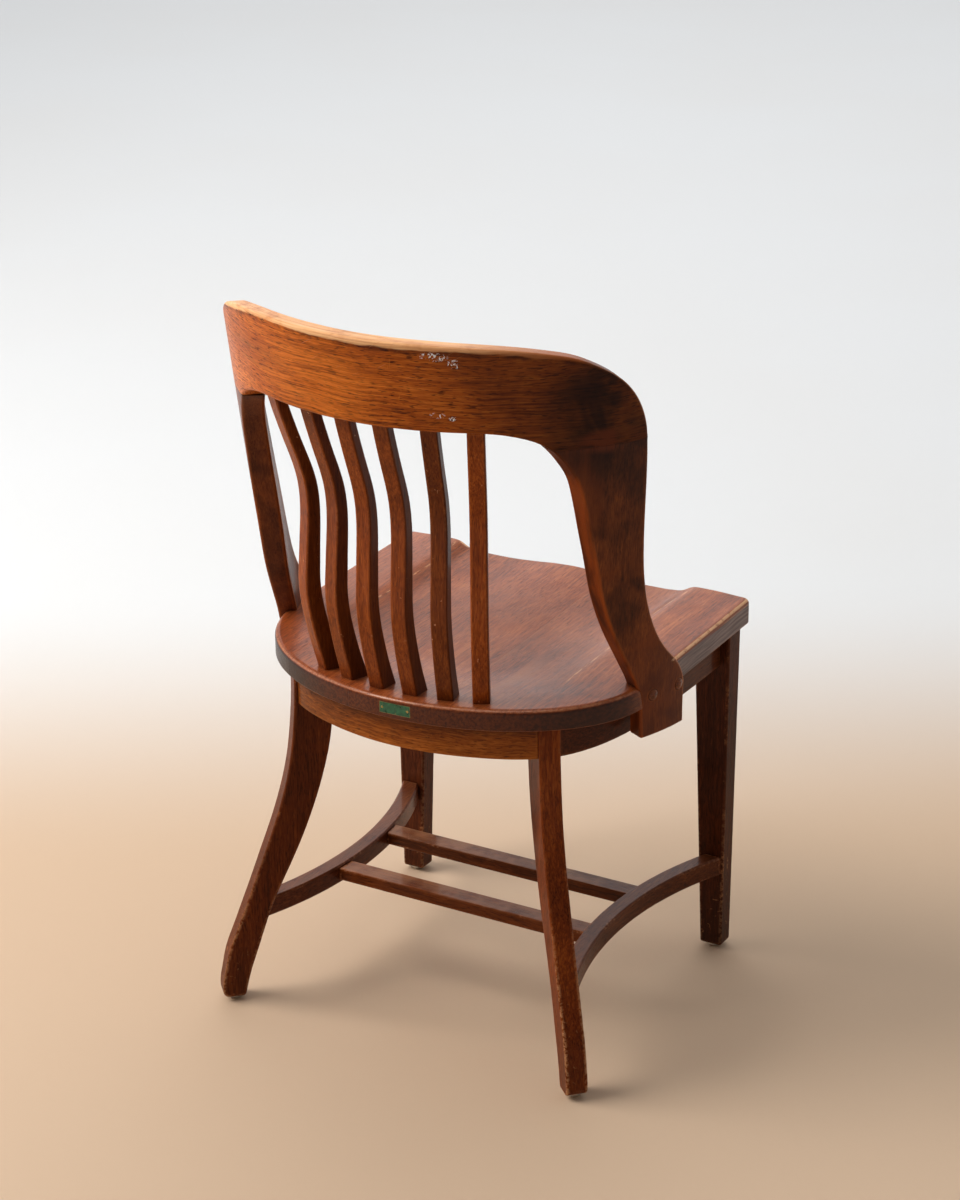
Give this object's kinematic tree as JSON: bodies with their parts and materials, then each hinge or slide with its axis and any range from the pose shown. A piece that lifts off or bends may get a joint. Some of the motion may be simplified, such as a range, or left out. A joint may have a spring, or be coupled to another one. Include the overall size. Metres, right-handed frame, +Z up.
{
  "type": "wooden armchair",
  "caption": "Fixed wooden armchair with a horseshoe back of crest rail, shaped arms and slats, a saddle seat and splayed legs joined by an H stretcher.",
  "frame": {"origin": "on the floor, under the middle of the chair's box", "axes": "+Z up, -Y towards the front of the seat, +X towards the sitter's left"},
  "size_m": [0.519, 0.4903, 0.864],
  "materials": {
    "seat_wood": "satin",
    "apron_wood": "satin",
    "leg_wood": "satin",
    "stretcher_wood": "satin",
    "button_wood": "satin",
    "arm_wood": "satin",
    "crest_wood": "satin",
    "slat_wood": "satin",
    "plain_wood": "matte",
    "steel": "satin",
    "nickel": "polished",
    "green_enamel": "glossy",
    "brass": "satin"
  },
  "bodies": {
    "root": {"seat_board_middle": "seat_wood", "seat_board_inner_right": "seat_wood", "seat_board_outer_right": "seat_wood", "seat_board_inner_left": "seat_wood", "seat_board_outer_left": "seat_wood", "apron_rear": "apron_wood", "apron_side_right": "apron_wood", "apron_side_left": "apron_wood", "apron_front": "apron_wood", "leg_rear_right": "leg_wood", "leg_rear_left": "leg_wood", "leg_front_right": "leg_wood", "leg_front_left": "leg_wood", "stretcher_side_right": "stretcher_wood", "stretcher_side_left": "stretcher_wood", "stretcher_cross_front": "stretcher_wood", "stretcher_cross_rear": "stretcher_wood", "arm_right": "arm_wood", "arm_left": "arm_wood", "crest_rail": "crest_wood", "back_slat_right_1": "slat_wood", "back_slat_left_1": "slat_wood", "back_slat_right_2": "slat_wood", "back_slat_left_2": "slat_wood", "back_slat_right_3": "slat_wood", "back_slat_left_3": "slat_wood", "crest_dowels": "plain_wood", "corner_block_front_right": "plain_wood", "corner_block_front_left": "plain_wood", "corner_block_rear_right": "plain_wood", "corner_block_rear_left": "plain_wood", "seat_screws": "steel", "corner_block_screws": "steel", "arm_buttons": "button_wood", "arm_screws": "steel", "glide_front_right": "nickel", "glide_front_left": "nickel", "glide_rear_right": "nickel", "glide_rear_left": "nickel", "small_plate": "green_enamel", "plate_pins": "brass"}
  },
  "joints": []
}
